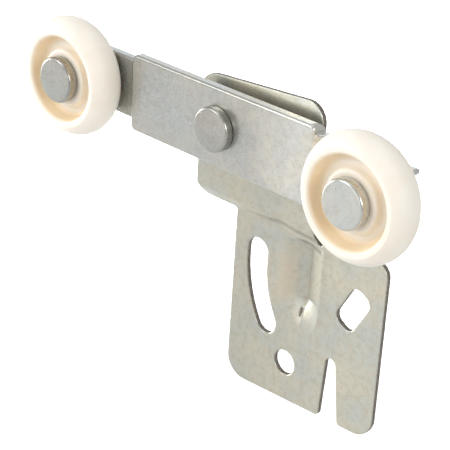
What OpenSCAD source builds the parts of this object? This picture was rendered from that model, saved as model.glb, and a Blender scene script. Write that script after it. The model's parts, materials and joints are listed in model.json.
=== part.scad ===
// Top-hung sliding door roller: a pressed steel hanger plate that screws to the back of the door,
// a stepped steel wheel bar that rocks on one rivet, and two plastic wheels on shouldered rivets.
// X runs along the track, Y runs from the wheels towards the back of the plate, Z is up.
// The origin is the centre of the round screw hole, on the face that lies against the door.

/* [Wheels] */
// Diameter over the crown of the tread
wheel_d = 25.4; // [24:0.1:28]
// Distance between the two wheel axles
axle_spacing = 78.6; // [74:0.2:90]
// Width of the rim
rim_w = 7.8; // [7:0.1:8]
// Radius of the crowned tread in section
crown_r = 4.4; // [4.1:0.1:5]
// Radius of the dish on each side of the wheel
dish_r = 9.0; // [8.5:0.1:9.8]
// Radius of the hub
hub_r = 6.0; // [5.5:0.1:7]
// Thickness of the web between the two dishes
web_t = 2; // [1.5:0.1:3]
// Depth of the hub face below the front lip
hub_recess = 1.04; // [0.6:0.02:1.4]

/* [Rivets] */
// Radius of an axle rivet head
axle_head_r = 4.85; // [4.2:0.05:5.4]
// Thickness of an axle rivet head
axle_head_t = 2.2; // [1.4:0.1:2.6]
// Radius of the axle shoulder that the wheel turns on
axle_r = 2.5; // [2:0.1:3]
// Radius of the tenon riveted through the bar
axle_tenon_r = 1.9; // [1.5:0.1:1.95]
// Radius of the pivot rivet head
pivot_head_r = 4.6; // [4:0.1:6]
// Thickness of the pivot rivet head
pivot_head_t = 1.9; // [1.2:0.1:2.4]
// Radius of the pivot shoulder that the bar rocks on
pivot_r = 3; // [2.6:0.1:3.4]
// Radius of the tenon riveted through the hanger plate
pivot_tenon_r = 2.3; // [1.8:0.1:2.5]
// Running clearance round both kinds of shoulder
run_gap = 0.06; // [0.03:0.01:0.1]

/* [Wheel bar] */
// Thickness of the bar
bar_t = 2.5; // [2:0.1:3]
// Height of the raised centre
bar_h = 16.5; // [15:0.5:18]
// Height of the end tabs
tab_h = 13; // [12:0.5:14]
// Half length of the raised centre
centre_half = 24; // [22:0.5:26]
// Set-back of the tabs behind the centre
bar_step = 1.4; // [1:0.1:1.8]
// Reach of each tab past its axle
tab_reach = 7.6; // [7:0.1:9]
// Depth of the bay in each tab's end
bay_depth = 3; // [2:0.1:3.4]

/* [Hanger plate] */
// Sheet thickness
plate_t = 1.2; // [1:0.05:1.4]
// Gap between the bar and the hanger plate
plate_gap = 1.9; // [1.5:0.1:2.4]
// Set-back of the lower plate behind the upper plate
plate_step = 1.5; // [1.2:0.1:1.8]
// Diameter of the round screw hole
screw_hole_d = 5.4; // [5:0.1:6]
// Width of the curved slot
arc_slot_w = 5.4; // [5:0.1:6]
// Radius of the curved slot about the adjusting screw
arc_slot_r = 25.4; // [25:0.1:26]
// Width of the slanted slot
slant_w = 5.1; // [4.6:0.1:5.6]
// Length of the slanted slot
slant_len = 9.6; // [9:0.1:10.5]
// Half width of the pressed rib
rib_half_w = 4.5; // [4:0.1:5]
// Depth of the pressed rib
rib_depth = 2; // [1.5:0.1:2.4]

/* [Hidden] */
$fn = 96;
cut = 1;                    // how far a cutting tool runs past the surface
axial_gap = 0.1;            // end play beside a wheel or the bar
steel = "silver";
nylon = "antiquewhite";

// Depths, measured back from the front face of the bar, on the pivot's axis
bar_back = bar_t;
tab_front = bar_step;
tab_back = bar_step + bar_t;
upper_front = bar_back + plate_gap;
upper_back = upper_front + plate_t;
lower_front = upper_front + plate_step;
lower_back = lower_front + plate_t;

// Hanger plate outline, seen from the wheels, measured from the pivot
upper_left = -9;
upper_right = 23.2;
top_left_z = 8.5;
top_right_z = 11;
ear_z = -18.1;              // bottom edge of the upper plate's left ear
lower_left = 1.4;           // also where the left ear ends
lower_right = 40.7;
shoulder_z = -16.2;         // top edge of the lower plate, right of the upper plate
relief_w = 1.2;             // relief beside the end of the bend
foot_left_z = -56.6;
foot_right_z = -54.8;
notch_top = [29.1, -42.6];
notch_r = 1.3;
notch_left_x = 27;          // the notch's sides where they meet the bottom edge
notch_right_x = 32.1;
plate_corner_r = 4;
shoulder_corner_r = 3;
notch_lip_r = 0.9;

// Double bend between the upper and the lower plate, with a short slope between the two arcs
bend_top_z = -15.8;
bend_inner_r = 0.9;
bend_slope_len = 0.15;
bend_mid_d = 2 * bend_inner_r + plate_t;
bend_angle = acos((bend_mid_d - plate_step) / norm([bend_mid_d, bend_slope_len]))
    - atan(bend_slope_len / bend_mid_d);
bend_bottom_z = bend_top_z - bend_mid_d * sin(bend_angle) - bend_slope_len * cos(bend_angle);

// Holes and the rib in the lower plate
arc_centre = [33.2, -27.2];
arc_from = 176;
arc_to = 210.5;
arc_mid = (arc_from + arc_to) / 2;
screw_hole = [17.15, -47.4];
slant_centre = [33.3, -28.6];
slant_angle = 61;
slant_corner_r = 1.9;
rib_x = 20.3;
rib_top_z = -18.7;
rib_end_z = -31.8;
rib_nose = 7.2;             // length of the run-out at the rib's lower end
rib_slope = atan(rib_depth / rib_half_w);
rib_back_grow = plate_t * tan(rib_slope / 2);
rib_back_depth = rib_depth + plate_t / cos(rib_slope) - plate_t;

// Wheel depths, measured like the rest from the front face of the bar
wheel_r = wheel_d / 2;
rim_front = -7;
rim_back = rim_front + rim_w;
crown_y = (rim_front + rim_back) / 2;
hub_front = rim_front + hub_recess;
hub_back = tab_front - 2 * axial_gap;
web_front = crown_y - web_t / 2;
web_back = crown_y + web_t / 2;
dish_floor_r = 0.8;         // fillet in the corners of the dish
head_round = 0.5;           // rounding of every rivet head's edge
axle_x = axle_spacing / 2;
stake_t = 1.1;
axle_stake_r = 3;
pivot_stake_r = 3.8;
washer_r = 6;
bar_corner_r = 2;
bar_outline_half = centre_half + 0.9;
step_run = 1.8;             // length of the slope between centre and tab
tab_end = axle_x + tab_reach;
tab_corner_r = 0.5;
bay_r = 3;
horn_h = 1.3;

// One rounded corner of an outline: the arc that replaces the corner p
function unit(v) = v / norm(v);
function turn(a, b) = sign(a[0] * b[1] - a[1] * b[0]);
function rounded(before, p, after, r, steps) =
    r == 0 ? [p] :
    let(u = unit(before - p), v = unit(after - p),
        half = acos(u * v) / 2,
        centre = p + unit(u + v) * r / sin(half),
        from = p + u * r / tan(half) - centre,
        sweep = turn(v, u) * (180 - 2 * half))
    [for (i = [0 : steps]) let(a = sweep * i / steps)
        centre + [from[0] * cos(a) - from[1] * sin(a), from[0] * sin(a) + from[1] * cos(a)]];

// Closed outline from corners, each given as [x, z, radius]
function rounded_outline(c, steps = 10) =
    let(n = len(c)) [for (i = [0 : n - 1]) each rounded(
        [c[(i + n - 1) % n][0], c[(i + n - 1) % n][1]], [c[i][0], c[i][1]],
        [c[(i + 1) % n][0], c[(i + 1) % n][1]], c[i][2], steps)];

// Moves everything from the pivot's axis to the part's own origin
module placed() translate([-screw_hole[0], -lower_front, -screw_hole[1]]) children();

// Stands a front view (x, z) up in depth, from y0 to y1
module through(y0, y1) translate([0, y1, 0]) rotate([90, 0, 0]) linear_extrude(y1 - y0) children();

// Solid of revolution about the Y axis through (x, z), from a section drawn as (radius, depth)
module turned(x, z = 0) translate([x, 0, z]) rotate([-90, 0, 0]) rotate_extrude() children();

// Section of a plain disc or shank: radius r, from depth y0 to y1
module shank(r, y0, y1) translate([0, y0]) square([r, y1 - y0]);

// Section of a rivet head, its front edge at depth y0 rounded
module head(r, y0, y1) {
    shank(r - head_round, y0, y1);
    translate([0, y0 + head_round]) square([r, y1 - y0 - head_round]);
    translate([r - head_round, y0 + head_round]) circle(head_round);
}

// Section of a staked tail, its back edge at depth y1 rounded
module tail(r, y0, y1) {
    shank(r - head_round, y0, y1);
    translate([0, y0]) square([r, y1 - y0 - head_round]);
    translate([r - head_round, y1 - head_round]) circle(head_round);
}

// Side view (y, z) of the bent sheet: upper plate, double bend and lower plate
module sheet_side() {
    inner = bend_inner_r;
    outer = bend_inner_r + plate_t;
    tangent = tan(bend_angle / 2);
    polygon(rounded_outline([
        [upper_front, top_right_z + cut, 0],
        [upper_front, bend_top_z - outer * tangent, outer],
        [lower_front, bend_bottom_z + inner * tangent, inner],
        [lower_front, foot_left_z - cut, 0],
        [lower_back, foot_left_z - cut, 0],
        [lower_back, bend_bottom_z + outer * tangent, outer],
        [upper_back, bend_top_z - inner * tangent, inner],
        [upper_back, top_right_z + cut, 0]]));
}

module hanger_outline() {
    difference() {
        polygon(rounded_outline([
            [upper_left, top_left_z, plate_corner_r],
            [upper_left, ear_z, plate_corner_r - 1],
            [lower_left, ear_z, 0],
            [lower_left, foot_left_z, plate_corner_r + 0.6],
            [lower_right, foot_right_z, plate_corner_r + 0.6],
            [lower_right, shoulder_z, shoulder_corner_r],
            [upper_right, shoulder_z, 0],
            [upper_right, top_right_z, plate_corner_r]]));
        notch();
        translate([upper_right, bend_bottom_z]) square([relief_w, shoulder_z - bend_bottom_z + cut]);
    }
}

// Tapered notch in the bottom edge, with rounded lips
module notch() {
    slope = (foot_right_z - foot_left_z) / (lower_right - lower_left);
    function foot_z(x) = foot_left_z + slope * (x - lower_left);
    left = [notch_left_x, foot_z(notch_left_x)];
    right = [notch_right_x, foot_z(notch_right_x)];
    reach = 4;
    translate(notch_top) circle(notch_r);
    polygon([[notch_top[0] - notch_r, notch_top[1]],
        each rounded(notch_top - [notch_r, 0], left, [left[0] - reach, foot_z(left[0] - reach)],
            notch_lip_r, 8),
        [left[0] - reach, foot_left_z - cut], [right[0] + reach, foot_left_z - cut],
        each rounded([right[0] + reach, foot_z(right[0] + reach)], right,
            notch_top + [notch_r, 0], notch_lip_r, 8),
        [notch_top[0] + notch_r, notch_top[1]]]);
}

module arc_slot() {
    far = 2 * arc_slot_r;
    translate(arc_centre) {
        intersection() {
            difference() {
                circle(arc_slot_r + arc_slot_w / 2);
                circle(arc_slot_r - arc_slot_w / 2);
            }
            polygon([[0, 0], far * [cos(arc_from), sin(arc_from)],
                far * [cos(arc_mid), sin(arc_mid)], far * [cos(arc_to), sin(arc_to)]]);
        }
        for (a = [arc_from, arc_to])
            translate(arc_slot_r * [cos(a), sin(a)]) circle(d = arc_slot_w);
    }
}

module slanted_slot() translate(slant_centre) rotate(slant_angle) {
    long = slant_len / 2 - slant_corner_r;
    wide = slant_w / 2 - slant_corner_r;
    square([2 * long, slant_w], center = true);
    square([slant_len, 2 * wide], center = true);
    for (x = [-long, long], y = [-wide, wide]) translate([x, y]) circle(slant_corner_r);
}

// Vee rib from depth y0, half width w and depth d, running out at its lower end
module rib(y0, w, d, top) {
    lip = 0.2;              // how far the vee is carried past the face it stands on
    mouth = w * (1 + lip / d);
    module vee() polygon([[-mouth, -lip], [mouth, -lip], [0, d]]);
    translate([rib_x, y0, rib_end_z]) {
        linear_extrude(top - rib_end_z) vee();
        hull() {
            linear_extrude(0.01) vee();
            translate([0, 0.01 - lip, mouth - rib_nose]) rotate([90, 0, 0])
                cylinder(r = mouth, h = 0.01, $fn = 48);
        }
    }
}

module hanger_plate() color(steel) placed() difference() {
    union() {
        intersection() {
            translate([upper_left, 0, 0]) rotate([90, 0, 90])
                linear_extrude(upper_right - upper_left) sheet_side();
            through(upper_front - cut, lower_back + cut) hanger_outline();
        }
        intersection() {
            translate([upper_right, lower_front, foot_left_z])
                cube([lower_right - upper_right, plate_t, shoulder_z - foot_left_z]);
            through(upper_front - cut, lower_back + cut) hanger_outline();
        }
        rib(lower_back, rib_half_w + rib_back_grow, rib_back_depth, rib_top_z);
    }
    rib(lower_front, rib_half_w, rib_depth, rib_top_z - plate_t);
    through(lower_front - cut, lower_back + cut) {
        translate(screw_hole) circle(d = screw_hole_d);
        arc_slot();
        slanted_slot();
    }
    through(upper_front - cut, upper_back + cut) circle(pivot_tenon_r);
}

// Plan view (x, y) of the stepped bar
module bar_plan() {
    slope = atan(bar_step / step_run);
    back = bar_t * tan(slope / 2);
    near = 1.6;
    tight = 0.5;
    right = [[centre_half, 0, near], [centre_half + step_run, bar_step, tight],
        [tab_end, tab_front, 0], [tab_end, tab_back, 0],
        [centre_half + step_run - back, tab_back, near], [centre_half - back, bar_back, tight]];
    left = [for (i = [len(right) - 1 : -1 : 0]) [-right[i][0], right[i][1], right[i][2]]];
    polygon(rounded_outline(concat(right, left), 8));
}

module bar_outline() {
    module bay() polygon(rounded_outline([
        [tab_end - bay_depth, -tab_h / 2 + horn_h, bay_r], [tab_end + cut, -tab_h / 2 + horn_h, 0],
        [tab_end + cut, tab_h / 2 - horn_h, 0], [tab_end - bay_depth, tab_h / 2 - horn_h, bay_r]]));
    difference() {
        union() {
            polygon(rounded_outline([for (s = [[1, 1], [-1, 1], [-1, -1], [1, -1]])
                [s[0] * bar_outline_half, s[1] * bar_h / 2, bar_corner_r]]));
            polygon(rounded_outline([for (s = [[1, 1], [-1, 1], [-1, -1], [1, -1]])
                [s[0] * tab_end, s[1] * tab_h / 2, tab_corner_r]], 6));
        }
        for (side = [0, 1]) mirror([side, 0]) bay();
    }
}

module wheel_bar() color(steel) placed() difference() {
    intersection() {
        translate([0, 0, -bar_h / 2]) linear_extrude(bar_h) bar_plan();
        through(-cut, tab_back + cut) bar_outline();
    }
    through(-cut, bar_back + cut) circle(pivot_r + run_gap);
    for (x = [-axle_x, axle_x])
        through(tab_front - cut, tab_back + cut) translate([x, 0]) circle(axle_tenon_r);
}

module pivot_rivet() color(steel) placed() turned(0) {
    head(pivot_head_r, -pivot_head_t - axial_gap, -axial_gap);
    shank(pivot_r, -axial_gap, upper_front);
    shank(pivot_tenon_r, upper_front, upper_back);
    tail(pivot_stake_r, upper_back, upper_back + stake_t);
}

module pivot_washer() color(steel) placed() turned(0) difference() {
    shank(washer_r, bar_back + axial_gap, upper_front);
    shank(pivot_r, bar_back, upper_front + cut);
}

// Section of a wheel: crowned rim, web and hub, dished on both sides
module wheel_section() {
    module dish(from, to) {
        low = min(from, to);
        translate([hub_r, low]) square([dish_r - hub_r, abs(to - from)]);
    }
    difference() {
        union() {
            difference() {
                union() {
                    translate([0, rim_front]) square([wheel_r - crown_r, rim_w]);
                    intersection() {
                        translate([wheel_r - crown_r, crown_y]) circle(crown_r);
                        translate([0, rim_front]) square([wheel_r, rim_w]);
                    }
                }
                shank(dish_r, rim_front - cut, web_front);
                shank(dish_r, web_back, rim_back + cut);
            }
            shank(hub_r, hub_front, hub_back);
            for (corner = [[dish_r, web_front, -1, -1], [hub_r, web_front, 1, -1],
                [dish_r, web_back, -1, 1], [hub_r, web_back, 1, 1]])
                translate([corner[0], corner[1]]) fillet(corner[2], corner[3]);
        }
        shank(axle_r + run_gap, hub_front - cut, hub_back + cut);
    }
}

// Fillet in an inside corner, growing along x and y by sign
module fillet(x, y) difference() {
    translate([min(0, x) * dish_floor_r, min(0, y) * dish_floor_r]) square(dish_floor_r);
    translate([x, y] * dish_floor_r) circle(dish_floor_r);
}

module wheel(x) color(nylon) placed() turned(x) wheel_section();

module axle_rivet(x) color(steel) placed() turned(x) {
    head(axle_head_r, hub_front - axial_gap - axle_head_t, hub_front - axial_gap);
    shank(axle_r, hub_front - axial_gap, tab_front);
    shank(axle_tenon_r, tab_front, tab_back);
    tail(axle_stake_r, tab_back, tab_back + stake_t);
}

module wheel_left() wheel(-axle_x);
module wheel_right() wheel(axle_x);
module axle_rivet_left() axle_rivet(-axle_x);
module axle_rivet_right() axle_rivet(axle_x);

hanger_plate();
wheel_bar();
pivot_rivet();
pivot_washer();
wheel_left();
wheel_right();
axle_rivet_left();
axle_rivet_right();
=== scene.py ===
import json
import math

import bmesh
import bpy
from mathutils import Matrix, Vector


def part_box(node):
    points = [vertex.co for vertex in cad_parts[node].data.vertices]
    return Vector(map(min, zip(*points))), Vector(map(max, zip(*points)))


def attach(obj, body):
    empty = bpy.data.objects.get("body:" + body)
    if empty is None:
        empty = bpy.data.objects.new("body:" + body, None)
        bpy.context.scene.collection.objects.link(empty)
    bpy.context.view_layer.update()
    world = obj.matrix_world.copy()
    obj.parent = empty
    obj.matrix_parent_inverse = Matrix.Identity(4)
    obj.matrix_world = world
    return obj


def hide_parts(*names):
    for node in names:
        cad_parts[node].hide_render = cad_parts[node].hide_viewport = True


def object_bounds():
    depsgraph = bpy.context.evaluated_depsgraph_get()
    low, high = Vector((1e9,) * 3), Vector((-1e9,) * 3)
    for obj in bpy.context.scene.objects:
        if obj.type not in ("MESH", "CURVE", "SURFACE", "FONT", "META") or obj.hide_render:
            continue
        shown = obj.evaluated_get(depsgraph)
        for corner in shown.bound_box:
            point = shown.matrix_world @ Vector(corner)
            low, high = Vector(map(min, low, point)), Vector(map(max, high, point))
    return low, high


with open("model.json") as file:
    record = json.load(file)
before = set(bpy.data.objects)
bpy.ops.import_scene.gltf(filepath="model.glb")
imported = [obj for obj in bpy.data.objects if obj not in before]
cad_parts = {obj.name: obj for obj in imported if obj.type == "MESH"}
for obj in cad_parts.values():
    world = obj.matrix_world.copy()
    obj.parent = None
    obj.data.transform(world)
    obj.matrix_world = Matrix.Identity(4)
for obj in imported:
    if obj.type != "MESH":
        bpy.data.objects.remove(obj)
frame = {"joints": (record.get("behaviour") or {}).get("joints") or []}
cad_low, cad_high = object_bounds()

MM = 0.001
JOINTS = {joint["name"]: Vector(joint["pos_m"]) for joint in frame["joints"]}
PIVOT = JOINTS["bar_rock"]
BAR_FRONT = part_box("wheel_bar")[0].y        # depths below are measured back from here, in mm
HOME = Vector((PIVOT.x, BAR_FRONT, PIVOT.z))
AXLE_X = (JOINTS["right_wheel_spin"].x - PIVOT.x) / MM


def depth_of(y):
    return (y - BAR_FRONT) / MM


# Depths of the main faces, in mm behind the front of the bar
BAR_T = 2.5
BAR_STEP = 1.4
PLATE_T = 1.2
PLATE_STEP = 1.5
LOWER_FRONT = depth_of(0.0)
UPPER_FRONT = LOWER_FRONT - PLATE_STEP
WHEEL_FRONT = depth_of(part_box("wheel_left")[0].y)
WHEEL_BACK = depth_of(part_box("wheel_left")[1].y)
AXLE_HEAD = depth_of(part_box("axle_rivet_left")[0].y)
AXLE_TAIL = depth_of(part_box("axle_rivet_left")[1].y)
PIVOT_HEAD = depth_of(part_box("pivot_rivet")[0].y)
PIVOT_TAIL = depth_of(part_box("pivot_rivet")[1].y)


# ---------------------------------------------------------------- camera

AZIMUTH, ELEVATION, ROLL = (math.radians(a) for a in (43.062, 25.369, 3.566))
EYE = Vector((197.258, -206.906, 114.762)) * MM


def place_camera():
    back = Vector((
        math.sin(AZIMUTH) * math.cos(ELEVATION),
        -math.cos(AZIMUTH) * math.cos(ELEVATION),
        math.sin(ELEVATION),
    ))
    level = Vector((math.cos(AZIMUTH), math.sin(AZIMUTH), 0))
    upright = back.cross(level)
    right = math.cos(ROLL) * level + math.sin(ROLL) * upright
    up = math.cos(ROLL) * upright - math.sin(ROLL) * level
    camera = bpy.data.objects.new("camera", bpy.data.cameras.new("camera"))
    bpy.context.scene.collection.objects.link(camera)
    turn = Matrix((right, up, back)).transposed().to_4x4()
    camera.matrix_world = Matrix.Translation(HOME + EYE) @ turn
    camera.data.sensor_width = 36
    camera.data.lens = 125.87
    camera.data.clip_start, camera.data.clip_end = 0.01, 20
    bpy.context.scene.camera = camera


# ---------------------------------------------------------------- drawing and finishing pieces

TURNED_WELD, SHEET_WELD = 0.001, 0.002      # corners closer than this, in mm, become one
LEVEL_WITHIN = 0.001                        # how far, in mm, a corner of a flat face may be off it
CUT_SNAP = 0.03                             # a cut closer than this, in mm, to a corner runs through it
EDGE_FACING = 0.2                           # faces that face forward less than this are cut edges


class Pen:
    """Draws one closed line of edges, in mm, from corners given as (u, v, radius)."""

    def __init__(self, bm, plane):
        self.bm = bm
        self.front = plane == "front"
        self.axis = Vector((0, -1, 0)) if self.front else Vector((0, 0, 1))
        self.first = self.at = None

    def point(self, u, v):
        """A front view lies in X and Z, a section through an axle in X (radius) and Y (depth)."""
        return Vector((u, 0, v)) if self.front else Vector((u, v, 0))

    def to(self, u, v):
        new = self.bm.verts.new(self.point(u, v))
        if self.at is None:
            self.first = new
        else:
            self.bm.edges.new((self.at, new))
        self.at = new

    def arc(self, centre, degrees, steps):
        swept = bmesh.ops.spin(
            self.bm, geom=[self.at], cent=self.point(*centre), axis=self.axis,
            angle=math.radians(degrees), steps=steps, use_duplicate=False,
        )
        self.at = [g for g in swept["geom_last"] if isinstance(g, bmesh.types.BMVert)][0]

    def close(self):
        self.bm.edges.new((self.at, self.first))

    def trace(self, corners, steps=10):
        """A closed line through corners, each rounded by its radius; a fourth value sets its steps."""
        count = len(corners)
        for i, (u, v, radius, *fine) in enumerate(corners):
            if not radius:
                self.to(u, v)
                continue
            here = Vector((u, v))
            to_last = (Vector(corners[i - 1][:2]) - here).normalized()
            to_next = (Vector(corners[(i + 1) % count][:2]) - here).normalized()
            half = to_last.angle(to_next) / 2
            start = here + to_last * radius / math.tan(half)
            centre = here + (to_last + to_next).normalized() * radius / math.sin(half)
            side = -1 if to_last.cross(to_next) > 0 else 1
            self.to(*start)
            self.arc(centre, side * (180 - math.degrees(2 * half)), fine[0] if fine else steps)
        self.close()

    def ring(self, u, v, radius, steps=48):
        self.to(u + radius, v)
        self.arc((u, v), 360 - 360 / steps, steps - 1)
        self.close()


def finish_piece(name, bm, body, node, materials, at=(0, 0), sharp=35):
    """Scales mm to metres, moves the mesh home and hands the piece to its body."""
    bmesh.ops.scale(bm, vec=(MM, MM, MM), verts=bm.verts)
    bmesh.ops.translate(bm, vec=HOME + Vector((at[0] * MM, 0, at[1] * MM)), verts=bm.verts)
    mesh = bpy.data.meshes.new(name)
    bm.to_mesh(mesh)
    bm.free()
    for face in mesh.polygons:
        face.use_smooth = True
    mesh.set_sharp_from_angle(angle=math.radians(sharp))
    for material in materials:
        mesh.materials.append(material)
    piece = bpy.data.objects.new(name, mesh)
    bpy.context.scene.collection.objects.link(piece)
    even = piece.modifiers.new("flat faces stay flat", "WEIGHTED_NORMAL")
    even.keep_sharp = True
    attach(piece, body)
    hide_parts(node)


def turned(name, section, body, node, material, at, sharp=35, steps=96):
    """A piece turned about an axle: its half section, given as (radius, depth, rounding)."""
    bm = bmesh.new()
    Pen(bm, "section").trace(section, steps=8)
    bmesh.ops.spin(
        bm, geom=bm.verts[:] + bm.edges[:], cent=(0, 0, 0), axis=(0, 1, 0),
        angle=math.tau, steps=steps, use_merge=True,
    )
    bmesh.ops.remove_doubles(bm, verts=bm.verts, dist=TURNED_WELD)
    bmesh.ops.delete(bm, geom=[e for e in bm.edges if not e.link_faces], context="EDGES")
    bmesh.ops.recalc_face_normals(bm, faces=bm.faces)
    finish_piece(name, bm, body, node, [material], at, sharp)


def slice_at(bm, axis, places):
    """Cuts the sheet along planes square to axis, so that it can bend there."""
    normal = Vector((1, 0, 0)) if axis == "x" else Vector((0, 0, 1))
    for place in places:
        bmesh.ops.bisect_plane(
            bm, geom=bm.verts[:] + bm.edges[:] + bm.faces[:], dist=CUT_SNAP,
            plane_co=normal * place, plane_no=normal,
        )


def span(start, end, pitch):
    """Evenly spaced places from start to end, about pitch apart."""
    count = max(1, round(abs(end - start) / pitch))
    return [start + (end - start) * i / count for i in range(count + 1)]


def pressed_sheet(bm, thickness, front_r, back_r, cuts_x, cuts_z, depth, segments):
    """Fills the outline, gives it thickness and rounded edges, then bends it to depth(x, z, share).

    It is sliced at cuts_x and cuts_z first, so that it can bend there.
    Cut edges get the second material.
    """
    bmesh.ops.triangle_fill(
        bm, use_beauty=True, use_dissolve=False, edges=bm.edges, normal=(0, -1, 0),
    )
    raised = bmesh.ops.extrude_face_region(bm, geom=bm.faces[:])["geom"]
    bmesh.ops.translate(
        bm, vec=(0, thickness, 0), verts=[g for g in raised if isinstance(g, bmesh.types.BMVert)],
    )
    bmesh.ops.recalc_face_normals(bm, faces=bm.faces)
    for level, radius in ((0, front_r), (thickness, back_r)):
        rim_edges = [
            e for e in bm.edges
            if all(abs(v.co.y - level) < LEVEL_WITHIN for v in e.verts) and e.calc_face_angle(0) > 1
        ]
        bmesh.ops.bevel(
            bm, geom=rim_edges, offset=radius, offset_type="OFFSET", affect="EDGES",
            segments=segments, profile=0.5, material=-1, clamp_overlap=False,
        )
    bmesh.ops.remove_doubles(bm, verts=bm.verts, dist=SHEET_WELD)
    bm.normal_update()
    for face in bm.faces:
        face.material_index = 1 if abs(face.normal.y) < EDGE_FACING else 0
    slice_at(bm, "x", cuts_x)
    slice_at(bm, "z", cuts_z)
    bmesh.ops.triangulate(bm, faces=[f for f in bm.faces if len(f.verts) > 4])
    for vert in bm.verts:
        vert.co.y = depth(vert.co.x, vert.co.z, min(max(vert.co.y / thickness, 0.0), 1.0))
    bm.normal_update()


def smooth_step(t):
    t = min(max(t, 0.0), 1.0)
    return t * t * (3 - 2 * t)


# ---------------------------------------------------------------- finishes

class Signal:
    """One socket of a finish. Adding, subtracting or multiplying it adds a Math node."""

    def __init__(self, finish, socket):
        self.finish, self.socket = finish, socket

    def maths(self, operation, first, second):
        return self.finish.node("ShaderNodeMath", {"operation": operation}, {0: first, 1: second})

    def __add__(self, other):
        return self.maths("ADD", self, other)

    __radd__ = __add__

    def __mul__(self, other):
        return self.maths("MULTIPLY", self, other)

    def __sub__(self, other):
        return self.maths("SUBTRACT", self, other)


class Finish:
    """A material and the one way to add a node to it."""

    def __init__(self, name):
        self.material = bpy.data.materials.new(name)
        self.material.use_nodes = True
        self.tree = self.material.node_tree
        self.tree.nodes.clear()
        self.place = self.node("ShaderNodeTexCoord", output="Object")

    def node(self, kind, settings=None, sockets=None, output=0):
        made = self.tree.nodes.new(kind)
        for key, value in (settings or {}).items():
            setattr(made, key, value)
        for key, value in (sockets or {}).items():
            if isinstance(value, Signal):
                self.tree.links.new(value.socket, made.inputs[key])
            else:
                made.inputs[key].default_value = value
        return Signal(self, made.outputs[output])

    def noise(self, size, detail=2.0, rough=0.5, distort=0.0):
        """Cloudy noise from 0 to 1 whose blotches are about size mm across."""
        return self.node("ShaderNodeTexNoise", None, {
            "Vector": self.place, "Scale": 1 / (size * MM), "Detail": detail, "Roughness": rough,
            "Distortion": distort,
        })

    def off(self, axis, point):
        """Distance in metres along X or Z from a point of the frame."""
        along = self.node("ShaderNodeSeparateXYZ", None, {"Vector": self.place}, output=axis)
        return along - point["XYZ".index(axis)]

    def brighten(self, colour, gain):
        return self.node(
            "ShaderNodeVectorMath", {"operation": "SCALE"}, {0: colour, "Scale": gain},
        )

    def spread(self, value, low, high, out_low=0.0, out_high=1.0):
        return self.node("ShaderNodeMapRange", None, {
            "Value": value, "From Min": low, "From Max": high, "To Min": out_low, "To Max": out_high,
        })

    def blend(self, factor, first, second):
        def rgba(colour):
            return colour if isinstance(colour, Signal) else (*colour, 1)
        return self.node(
            "ShaderNodeMix", {"data_type": "RGBA"},
            {0: factor, 6: rgba(first), 7: rgba(second)}, output=2,
        )

    def bump(self, height, strength, distance):
        return self.node("ShaderNodeBump", None, {
            "Height": height, "Strength": strength, "Distance": distance * MM,
        })

    def surface(self, **sockets):
        names = {key.replace("_", " "): value for key, value in sockets.items()}
        shader = self.node("ShaderNodeBsdfPrincipled", None, names)
        result = self.tree.nodes.new("ShaderNodeOutputMaterial")
        self.tree.links.new(shader.socket, result.inputs["Surface"])
        return self.material


SHOULDER_SHEEN = (0.62, 0.54, 0.4)       # beige, a painted sheen on the rib's soft left shoulder
WAVER = 12                          # mm by which the clouds shift the painted light ramp along a piece
TOP_RUN, TOP_WAVER = 3, 4           # mm over which the painted top light fades in, and its shift
STREAK_FADE, STREAK_WAVER = 4, 4    # mm over which the painted sheen streak ends, and its sideways shift


def zinc(name, cool, warm, dull, polish, metal, light_ramp, grain=0.5, sheen_streak=None, painted_top_light=None):
    """Zinc over pressed steel: cool and warm clouds, dull patches and a fine tumbled grain.

    the painted light ramp gives two places along the piece, in mm, and how bright painted light and
    shade make the zinc at each;
    the painted sheen streak, if given, is the middle, half width, top and foot of an upright streak of
    painted sheen;
    the painted top light, if given, is the height above which painted light makes the zinc brighter,
    and by how much.
    """
    f = Finish(name)
    clouds = f.noise(9.0, detail=3, rough=0.55, distort=0.5)
    patches = f.noise(1.5, detail=4, rough=0.7)
    specks = f.noise(0.3, detail=2, rough=0.7)
    warmth = f.spread(clouds * 0.6 + patches * 0.4, 0.42, 0.58)
    colour = f.blend(warmth, cool, warm)
    colour = f.blend(f.spread(patches * 0.6 + specks * 0.4, 0.46, 0.6, 0, 0.5), colour, dull)
    along = f.off("X", HOME)
    up = f.off("Z", HOME)
    # painted light: the zinc is painted darker at one end and lighter at the other, standing in for
    # light falling unevenly along the piece
    (start, dim), (end, bright) = light_ramp
    shade = f.spread(
        along + clouds * (WAVER * MM), (start + WAVER / 2) * MM, (end + WAVER / 2) * MM, dim, bright,
    )
    colour = f.brighten(colour, shade)
    # painted light: the zinc above a height is painted brighter, standing in for light falling on the
    # plate's top
    if painted_top_light:
        height, gain = painted_top_light
        top = up + clouds * (TOP_WAVER * MM)
        colour = f.brighten(
            colour, f.spread(top, height * MM, (height + TOP_RUN) * MM, 1.0, gain),
        )
    # painted sheen: a beige streak painted on the rounded shoulder, standing in for its reflection
    if sheen_streak:
        middle, half, top, foot = (v * MM for v in sheen_streak)
        fade = STREAK_FADE * MM
        off = along - middle + (patches - 0.5) * (STREAK_WAVER * MM)
        near = f.spread(off * off, (2.2 * half) ** 2, (0.4 * half) ** 2)
        reach = f.spread(up, top, top - fade) * f.spread(up, foot, foot + fade)
        colour = f.blend(near * reach * 0.6, colour, SHOULDER_SHEEN)
    rough = polish + patches * 0.12 + clouds * 0.08 + specks * 0.04
    height = specks * grain + patches * 0.8
    return f.surface(
        Base_Color=colour, Metallic=metal, Roughness=rough, Normal=f.bump(height, 0.25, 0.06),
    )


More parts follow.
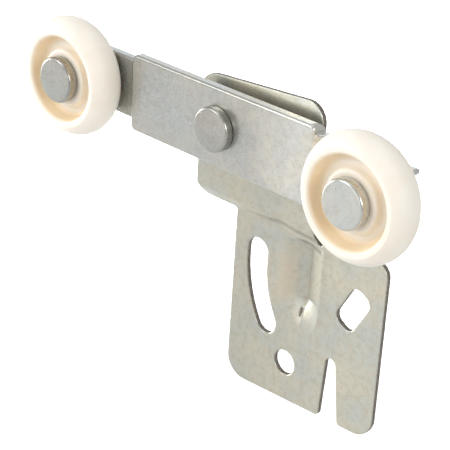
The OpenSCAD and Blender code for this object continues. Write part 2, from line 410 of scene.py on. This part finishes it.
def sheared_steel():
    """The cut edge of the sheet: a rougher, browner band where the punch tore it."""
    f = Finish("sheared_steel")
    streaks = f.noise(0.35, detail=3, rough=0.6)
    colour = f.blend(f.spread(streaks, 0.35, 0.65), (0.12, 0.1, 0.08), (0.36, 0.33, 0.29))
    return f.surface(
        Base_Color=colour, Metallic=0.8, Roughness=0.42 + streaks * 0.2,
        Normal=f.bump(streaks, 0.4, 0.08),
    )


SQUARE_MM = 1e6                     # square mm in a square metre
PALE, IVORY = (0.93, 0.88, 0.79), (0.9, 0.83, 0.72)
# tan painted shade for the dish, lighter and deeper
DISH_SHADE, DISH_SHADE_DEEP = (0.87, 0.72, 0.51), (0.85, 0.68, 0.45)
# painted shade for the hub around the rivet head
HUB_SHADE = (0.72, 0.63, 0.52)


def ivory_nylon(name, axle):
    """Moulded ivory nylon, slightly translucent, with painted shade: tan in the dish and darker on the
    hub around the rivet.

    The squares below are radii in mm about the axle, squared to match reach.
    """
    f = Finish(name)
    clouds = f.noise(7.0, detail=3, rough=0.55, distort=0.4)
    fine = f.noise(0.5, detail=2)
    across = f.off("X", axle)
    up = f.off("Z", axle)
    reach = (across * across + up * up) * SQUARE_MM
    # painted shade: the dish is painted tan, standing in for the shade deep inside it
    dish_shade_mask = f.spread(reach, 9.5 ** 2, 8.9 ** 2) * f.spread(reach, 7.2 ** 2, 8.2 ** 2)
    cloudy = f.spread(clouds, 0.35, 0.65)
    rim = f.blend(cloudy, IVORY, PALE)
    dish_shade = f.blend(cloudy, DISH_SHADE_DEEP, DISH_SHADE)
    colour = f.blend(dish_shade_mask, rim, dish_shade)
    # painted shade: the hub face is painted darker around the rivet head, standing in for the head's
    # shadow
    hub = f.spread(reach + fine * 8, 6.6 ** 2, 5.4 ** 2, 0, 0.8)
    colour = f.blend(hub, colour, HUB_SHADE)
    return f.surface(
        Base_Color=colour, Roughness=0.38 + clouds * 0.12, Normal=f.bump(fine, 0.1, 0.03),
        Subsurface_Weight=0.2, Subsurface_Radius=(1.0, 0.62, 0.38), Subsurface_Scale=0.0016,
        Specular_IOR_Level=0.45,
    )


# each zinc piece is painted lighter towards its right end; the plate also gets painted light on its top
# and a painted sheen on the rib's shoulder
ZINC_PLATE = zinc(
    "zinc_plate", (0.52, 0.53, 0.48), (0.59, 0.555, 0.45), (0.37, 0.35, 0.285), 0.19, 0.75,
    light_ramp=((6, 0.92), (36, 1.1)), sheen_streak=(15.8, 1.3, -20, -36), painted_top_light=(8.5, 1.5),
)
ZINC_BAR = zinc(
    "zinc_bar", (0.53, 0.54, 0.52), (0.59, 0.565, 0.505), (0.37, 0.37, 0.34), 0.17, 0.85,
    light_ramp=((9, 0.9), (21, 1.24)),
)
ZINC_RIVET = zinc(
    "zinc_rivet", (0.46, 0.475, 0.45), (0.51, 0.495, 0.45), (0.36, 0.35, 0.32), 0.14, 0.9,
    light_ramp=((0, 0.84), (39, 1.34)), grain=0.3,
)
SHEARED = sheared_steel()
NYLON_LEFT = ivory_nylon("ivory_nylon_left", JOINTS["left_wheel_spin"])
NYLON_RIGHT = ivory_nylon("ivory_nylon_right", JOINTS["right_wheel_spin"])


# ---------------------------------------------------------------- wheels and rivets

BORE_R, HUB_R, DISH_R, TREAD_R = 2.56, 6.0, 9.0, 10.32
CROWN_R, CROWN_ROUND = 17.9, 4.39           # where the tread's two flanks would meet, and its rounding
TREAD_BACK, DISH_FLOOR, HUB_DROP = 0.8, -4.15, 1.04


def wheel(name, body, node, x, nylon):
    crown_y = (WHEEL_FRONT + TREAD_BACK) / 2
    hub_front = WHEEL_FRONT + HUB_DROP
    section = [
        (BORE_R, hub_front, 0.3, 4), (HUB_R, hub_front, 0.8, 8),
        (6.5, DISH_FLOOR, 0.9, 8), (8.4, DISH_FLOOR, 0.9, 8), (DISH_R, WHEEL_FRONT, 0.95, 10),
        (TREAD_R, WHEEL_FRONT, 0), (CROWN_R, crown_y, CROWN_ROUND, 40),
        (TREAD_R, TREAD_BACK, 0), (DISH_R, TREAD_BACK, 0.3, 4),
        (8.6, crown_y + 1, 0.9, 6), (6.3, crown_y + 1, 0.9, 6), (HUB_R, WHEEL_BACK, 0.4, 4),
        (BORE_R, WHEEL_BACK, 0.3, 4),
    ]
    turned(name, section, body, node, nylon, (x, 0), sharp=50, steps=128)


AXLE_HEAD_R, AXLE_HEAD_T, JOURNAL_R, STEM_R, STAKE_R = 4.85, 2.2, 2.5, 1.9, 3.0


def axle_rivet(name, node, x):
    shoulder = AXLE_HEAD + AXLE_HEAD_T
    tab_back = BAR_STEP + BAR_T
    section = [
        (0, AXLE_HEAD, 0), (AXLE_HEAD_R, AXLE_HEAD, 0.55, 8), (AXLE_HEAD_R, shoulder, 0.25, 4),
        (JOURNAL_R, shoulder, 0), (JOURNAL_R, BAR_STEP, 0), (STEM_R, BAR_STEP, 0),
        (STEM_R, tab_back, 0), (STAKE_R, tab_back, 0.1, 3), (STAKE_R, AXLE_TAIL, 0.6, 6),
        (0, AXLE_TAIL, 0),
    ]
    turned(name, section, "bar", node, ZINC_RIVET, (x, 0))


PIVOT_HEAD_R, PIVOT_R, PIVOT_STEM_R, PIVOT_STAKE_R = 4.6, 3.0, 2.3, 3.8
PIVOT_GAP = 0.1                             # between the bar and the head or the washer
WASHER_BORE_R, WASHER_R = 3.02, 6.0


def pivot_rivet():
    plate_back = UPPER_FRONT + PLATE_T
    section = [
        (0, PIVOT_HEAD, 0), (PIVOT_HEAD_R, PIVOT_HEAD, 0.5, 8),
        (PIVOT_HEAD_R, -PIVOT_GAP, 0.2, 4), (PIVOT_R, -PIVOT_GAP, 0), (PIVOT_R, UPPER_FRONT, 0),
        (PIVOT_STEM_R, UPPER_FRONT, 0), (PIVOT_STEM_R, plate_back, 0),
        (PIVOT_STAKE_R, plate_back, 0.1, 3), (PIVOT_STAKE_R, PIVOT_TAIL, 0.6, 6), (0, PIVOT_TAIL, 0),
    ]
    turned(
        "pivot_rivet_turned", section, "hanger", "pivot_rivet", ZINC_RIVET, (0, 0),
    )


def pivot_washer():
    front = BAR_T + PIVOT_GAP
    section = [
        (WASHER_BORE_R, front, 0.1, 3), (WASHER_R, front, 0.25, 4),
        (WASHER_R, UPPER_FRONT, 0.25, 4), (WASHER_BORE_R, UPPER_FRONT, 0.1, 3),
    ]
    turned(
        "pivot_washer_turned", section, "hanger", "pivot_washer", ZINC_RIVET, (0, 0),
    )


# ---------------------------------------------------------------- wheel bar

CENTRE_HALF, STEP_RUN = 24.4, 1.6
BAR_HALF_H, TAB_HALF_H, TAB_END = 8.25, 6.5, AXLE_X + 7.6
BAY_DEPTH, BAY_R, HORN_H = 3.0, 2.3, 1.3
STEP_EASE, STEP_LAG = 0.15, 0.8             # the bend's extra run, and how far its back starts early
PIVOT_HOLE_R, AXLE_HOLE_R = 3.06, 1.93


def bar_depth(x, z, share):
    """The bar is flat in the middle and stepped back to the two tabs; share runs from front to back."""
    lag = STEP_LAG * share
    run = (abs(x) + lag - CENTRE_HALF + STEP_EASE) / (STEP_RUN + 2 * STEP_EASE)
    return BAR_T * share + BAR_STEP * smooth_step(run)


def wheel_bar():
    shoulder = CENTRE_HALF + 0.5
    half = [
        (shoulder, BAR_HALF_H, 1.45), (shoulder, TAB_HALF_H, 0.25, 4),
        (TAB_END, TAB_HALF_H, 0.62, 4), (TAB_END, TAB_HALF_H - HORN_H, 0.62, 4),
        (TAB_END - BAY_DEPTH, TAB_HALF_H - HORN_H, BAY_R),
    ]
    right = half + [(x, -z, r, *fine) for x, z, r, *fine in reversed(half)]
    left = [(-x, -z, r, *fine) for x, z, r, *fine in right]
    bm = bmesh.new()
    Pen(bm, "front").trace(list(reversed(right + left)), steps=12)
    Pen(bm, "front").ring(0, 0, PIVOT_HOLE_R)
    for side in (-1, 1):
        Pen(bm, "front").ring(side * AXLE_X, 0, AXLE_HOLE_R, 32)
    bends = span(CENTRE_HALF - 1.1, CENTRE_HALF + STEP_RUN + 0.3, 0.16)
    cuts = [side * x for side in (-1, 1) for x in bends]
    pressed_sheet(bm, BAR_T, 0.6, 0.6, cuts, [], bar_depth, 5)
    finish_piece(
        "wheel_bar_pressed", bm, "bar", "wheel_bar", [ZINC_BAR, ZINC_BAR], sharp=50,
    )


# ---------------------------------------------------------------- hanger plate

UPPER_LEFT, UPPER_RIGHT, TOP_LEFT_Z, TOP_RIGHT_Z, EAR_Z = -9.0, 23.2, 8.5, 11.0, -18.1
LOWER_LEFT, LOWER_RIGHT, SHOULDER_Z = 1.4, 40.7, -16.2
FOOT_LEFT_Z, FOOT_RIGHT_Z = -56.6, -54.8
NOTCH_X, NOTCH_Z, NOTCH_R, NOTCH_MOUTH = 29.1, -42.6, 1.3, (27.0, 32.1)
BEND_MID, BEND_HALF = -17.1, 1.3
ARC_CENTRE, ARC_R, ARC_W, ARC_FROM, ARC_TO = (33.2, -27.2), 25.4, 5.4, 176.0, 210.5
SLANT_CENTRE, SLANT_L, SLANT_W, SLANT_R, SLANT_ANGLE = (33.3, -28.6), 9.6, 5.1, 1.9, 61.0
RIB_X, RIB_W, RIB_D, RIB_TOP, RIB_END, RIB_NOSE = 20.3, 4.5, 2.0, -19.4, -31.8, 6.4
RIB_FLARE, RIB_BLEND = 0.25, 1.2            # wider on its back by this, and half its run at the top
NOSE_ROUND, NOSE_LEAST = 0.55, 0.1          # how much its end draws in at the sides
END_DROP, END_BLUR, SIDE_MOST = 1.5, 0.7, 1.5
SHOULDER_SOFT, SHOULDER_SAG, SHOULDER_OUT, SHOULDER_RUN = 0.05, 0.011, 2.4, 3
LIP_H, LIP_OUT, LIP_W = 0.14, 0.3, 0.7
TEAR_X, TEAR_Z, TEAR_W, TEAR_L, TEAR_D = 19.75, -34.9, 0.2, 0.8, 0.35
RISE_X, RISE_W, RISE_H = 14, 2.3, 0.55      # the joggle bows upwards here
SOFT_X, SOFT_RUN, SOFT_HALF = 10, 4, 0.45   # and is longer to the left of here
JOGGLE_LAG = 0.6
RELIEF_W, RELIEF_Z = 1.2, -18.4
SCREW_R, STEM_HOLE_R = 2.7, 2.3


def foot_z(x):
    """Height of the plate's sloping foot at x."""
    share = (x - LOWER_LEFT) / (LOWER_RIGHT - LOWER_LEFT)
    return FOOT_LEFT_Z + (FOOT_RIGHT_Z - FOOT_LEFT_Z) * share


def soft_above(value, soft):
    """The value where it is above zero, else zero, with the corner between them rounded by soft."""
    return (value + math.sqrt(value * value + soft)) / 2


def rib_depth(x, z, share):
    """Depth of the vee rib: a soft left shoulder, a crisp right rim and a ramped end with a tear."""
    width = RIB_W + RIB_FLARE * share
    side = abs(x - RIB_X) / width
    nose = RIB_NOSE * math.sqrt(max(1 - NOSE_ROUND * side * side, NOSE_LEAST))
    if x < RIB_X:
        blur = min(side, SIDE_MOST) * END_BLUR
        soft = blur * blur * 0.25
        ramp = soft_above((RIB_END + END_DROP * min(side, SIDE_MOST) - z) / nose, soft)
        along = soft_above(1 - ramp, soft)
    else:
        along = 1 - min(max((RIB_END - z) / nose, 0.0), 1.0)
    along *= smooth_step((RIB_TOP + RIB_BLEND - z) / (2 * RIB_BLEND))
    across = 1 - side
    if x < RIB_X:
        across = soft_above(across, SHOULDER_SOFT) - SHOULDER_SAG * (1 - max(across, 0))
        across *= smooth_step((x - RIB_X + width + SHOULDER_OUT) / SHOULDER_RUN)
    lip = LIP_H * math.exp(-(((x - RIB_X - width - LIP_OUT) / LIP_W) ** 2)) * along
    tear = math.exp(-(((x - TEAR_X) / TEAR_W) ** 2) - ((z - TEAR_Z) / TEAR_L) ** 4)
    return RIB_D * along * max(across, 0.0) - lip + TEAR_D * tear * (1 - share)


def plate_depth(x, z, share):
    """The hanger plate: upper plate, joggle, lower plate and rib; share runs from front to back."""
    if x > UPPER_RIGHT + 0.5:
        stepped = PLATE_STEP
    else:
        raised = RISE_H * math.exp(-(((x - RISE_X) / RISE_W) ** 2))
        half = BEND_HALF + SOFT_HALF * smooth_step((SOFT_X - x) / SOFT_RUN)
        lag = JOGGLE_LAG * share
        stepped = PLATE_STEP * smooth_step((BEND_MID + raised + lag - z + half) / (2 * half))
    return UPPER_FRONT + PLATE_T * share + stepped + rib_depth(x, z, share)


def hanger_plate():
    outline = [
        (UPPER_LEFT, TOP_LEFT_Z, 4.0), (UPPER_LEFT, EAR_Z, 3.0), (LOWER_LEFT, EAR_Z, 0.5, 5),
        (LOWER_LEFT, FOOT_LEFT_Z, 4.6), (NOTCH_MOUTH[0], foot_z(NOTCH_MOUTH[0]), 0.9, 6),
        (NOTCH_X - NOTCH_R, NOTCH_Z, 0), (NOTCH_X - NOTCH_R, NOTCH_Z + NOTCH_R, NOTCH_R - 0.01),
        (NOTCH_X + NOTCH_R, NOTCH_Z + NOTCH_R, NOTCH_R - 0.01), (NOTCH_X + NOTCH_R, NOTCH_Z, 0),
        (NOTCH_MOUTH[1], foot_z(NOTCH_MOUTH[1]), 0.9, 6), (LOWER_RIGHT, FOOT_RIGHT_Z, 4.6),
        (LOWER_RIGHT, SHOULDER_Z, 3.0), (UPPER_RIGHT + RELIEF_W, SHOULDER_Z, 0.4, 4),
        (UPPER_RIGHT + RELIEF_W, RELIEF_Z, 0.5, 5), (UPPER_RIGHT, RELIEF_Z, 0.5, 5),
        (UPPER_RIGHT, TOP_RIGHT_Z, 4.0),
    ]
    bm = bmesh.new()
    Pen(bm, "front").trace(outline)
    Pen(bm, "front").ring(-PIVOT.x / MM, -PIVOT.z / MM, SCREW_R)
    Pen(bm, "front").ring(0, 0, STEM_HOLE_R, 32)
    curved_slot(bm)
    slanted_slot(bm)
    # cuts close together where the sheet bends: the rib's sides, its tear and the joggle's bow
    across = span(RIB_X - RIB_W - SHOULDER_OUT, RIB_X - 1.2, 0.35)
    across += span(TEAR_X - 0.5, TEAR_X + 0.4, 0.15)
    across += [RIB_X, RIB_X + 0.15, RIB_X + 2]
    across += span(RIB_X + RIB_W - 0.6, RIB_X + RIB_W + 2.4, 0.2)
    across += span(8, 13, 1.0)
    along = span(RIB_END + 0.16, RIB_END - 0.16, 0.16)
    along += span(RIB_END - 0.6, RIB_END - RIB_NOSE - 0.2, 0.4)
    along += span(RIB_TOP - RIB_BLEND, RIB_TOP + RIB_BLEND, 0.3)
    along += span(BEND_MID - 2.0, BEND_MID + 2.4, 0.22)
    pressed_sheet(bm, PLATE_T, 0.2, 0.15, across, along + [-24, -28], plate_depth, 3)
    # The tear's front faces take the dark cut-edge finish: sheared metal, and painted shade for the gap
    # where it tore.
    for face in bm.faces:
        middle = face.calc_center_median()
        torn_gap_shade = abs(middle.x - TEAR_X) < 0.22 and abs(middle.z - TEAR_Z) < 0.9
        if torn_gap_shade and face.normal.y < 0:
            face.material_index = 1
    finish_piece(
        "hanger_plate_pressed", bm, "hanger", "hanger_plate",
        [ZINC_PLATE, SHEARED], sharp=40,
    )


def curved_slot(bm):
    pen = Pen(bm, "front")
    outer = ARC_R + ARC_W / 2
    cx, cz = ARC_CENTRE

    def on(radius, degrees):
        a = math.radians(degrees)
        return cx + radius * math.cos(a), cz + radius * math.sin(a)

    pen.to(*on(outer, ARC_FROM))
    pen.arc(ARC_CENTRE, ARC_TO - ARC_FROM, 24)
    pen.arc(on(ARC_R, ARC_TO), 180, 16)
    pen.arc(ARC_CENTRE, ARC_FROM - ARC_TO, 20)
    pen.arc(on(ARC_R, ARC_FROM), 180 * 15 / 16, 15)
    pen.close()


def slanted_slot(bm):
    turn = Matrix.Rotation(math.radians(SLANT_ANGLE), 2)
    corners = []
    for u, v in ((1, 1), (-1, 1), (-1, -1), (1, -1)):
        x, z = turn @ Vector((u * SLANT_L / 2, v * SLANT_W / 2))
        corners.append((SLANT_CENTRE[0] + x, SLANT_CENTRE[1] + z, SLANT_R, 8))
    Pen(bm, "front").trace(corners)


# ---------------------------------------------------------------- floor and light

FLOOR_HALF, FLOOR_DROP = 6, 0.14            # m
FLOOR_GREY, SKY_POWER = 0.72, 0.56


def stage():
    floor_mesh = bpy.data.meshes.new("floor")
    bm = bmesh.new()
    bmesh.ops.create_grid(bm, x_segments=1, y_segments=1, size=FLOOR_HALF)
    bmesh.ops.translate(bm, vec=(0, 0, cad_low.z - FLOOR_DROP), verts=bm.verts)
    bm.to_mesh(floor_mesh)
    bm.free()
    floor = bpy.data.objects.new("floor", floor_mesh)
    bpy.context.scene.collection.objects.link(floor)
    paper = Finish("floor_paper")
    floor_mesh.materials.append(
        paper.surface(Base_Color=(FLOOR_GREY, FLOOR_GREY, FLOOR_GREY, 1), Roughness=0.9)
    )


def softbox(name, where, aim, size, power, colour=(1, 1, 1), beam=180, shine=True):
    """A round softbox, placed and aimed in metres from the middle of the object.

    beam is its width in degrees, and shine is whether it shows in reflections.
    """
    lamp = bpy.data.lights.new(name, "AREA")
    lamp.shape = "DISK"
    lamp.size, lamp.energy, lamp.color = size, power, colour
    lamp.spread = math.radians(beam)
    light = bpy.data.objects.new(name, lamp)
    middle = (cad_low + cad_high) / 2
    light.location = middle + Vector(where)
    light.rotation_mode = "QUATERNION"
    light.rotation_quaternion = (Vector(aim) - Vector(where)).to_track_quat("-Z", "Y")
    light.visible_camera, light.visible_glossy = False, shine
    bpy.context.scene.collection.objects.link(light)


def studio():
    world = bpy.data.worlds.new("studio")
    bpy.context.scene.world = world
    world.use_nodes = True
    sky = world.node_tree.nodes["Background"]
    sky.inputs["Color"].default_value = (1, 1, 1, 1)
    sky.inputs["Strength"].default_value = SKY_POWER
    here = (0, 0, 0)
    softbox("left", (-0.88, -0.26, 0.0), here, 0.3, 4.6)
    softbox("top", (-0.1, 0.1, 0.9), here, 0.5, 0.8, (0.9, 0.95, 1.0))
    softbox("front", (-0.4, -0.65, 0.45), here, 0.5, 2.6)
    softbox("low front", (-0.05, -0.9, 0.0), here, 0.6, 1.0)
    softbox("behind", (-0.62, 0.66, 0.43), here, 0.5, 0.55, (0.85, 0.93, 1.0))
    softbox("right", (0.8, -0.25, 0.35), here, 0.4, 2.2)
    softbox("backdrop", (-0.46, 0.52, 0.7), (-0.46, 0.52, -0.2), 0.4, 8.0, beam=76, shine=False)
    view = bpy.context.scene.view_settings
    view.view_transform = "Standard"
    view.look = "None"
    view.exposure = 0.0


place_camera()
wheel("wheel_left_moulded", "left_wheel", "wheel_left", -AXLE_X, NYLON_LEFT)
wheel("wheel_right_moulded", "right_wheel", "wheel_right", AXLE_X, NYLON_RIGHT)
axle_rivet("axle_rivet_left_turned", "axle_rivet_left", -AXLE_X)
axle_rivet("axle_rivet_right_turned", "axle_rivet_right", AXLE_X)
pivot_rivet()
pivot_washer()
wheel_bar()
hanger_plate()
stage()
studio()

bpy.context.view_layer.update()
